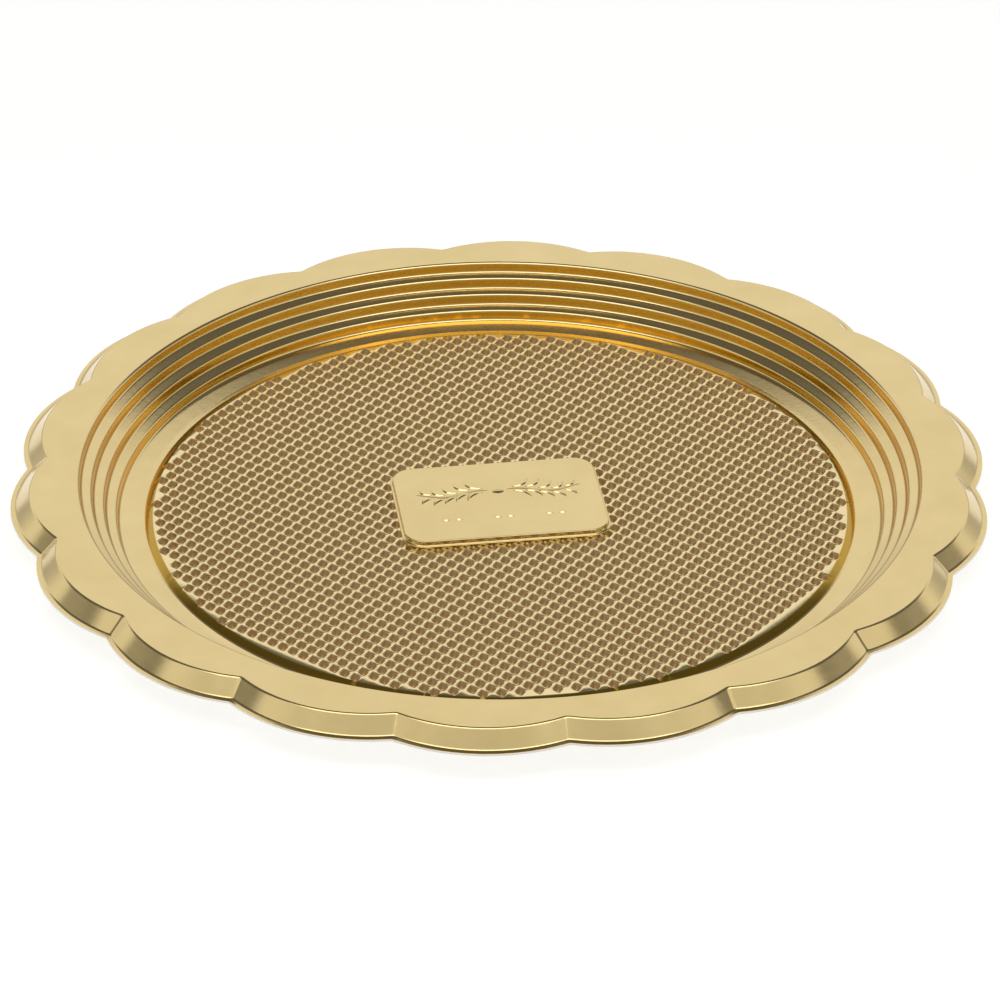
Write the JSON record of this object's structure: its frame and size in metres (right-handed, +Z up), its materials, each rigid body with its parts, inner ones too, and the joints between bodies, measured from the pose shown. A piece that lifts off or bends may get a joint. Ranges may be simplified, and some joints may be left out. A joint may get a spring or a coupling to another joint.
{
  "type": "scalloped cake tray",
  "caption": "Round thermoformed gold cake tray with a scalloped skirt, flat rim, stepped wall, raised waffle floor and a small plain centre plaque.",
  "frame": {"origin": "on the plane the tray stands on, under the middle of the dish", "axes": "+Z up out of the dish, X along the plaque and through the tips of two opposite scallops, Y through two opposite notches"},
  "size_m": [0.3, 0.2968, 0.0166],
  "materials": {
    "base_plastic": "off-white formed polystyrene, faint sheen",
    "gold_metallised": "pale gold metallised film, satin mirror"
  },
  "bodies": {
    "root": {"base_sheet": "base_plastic", "gold_film": "gold_metallised"}
  },
  "joints": []
}
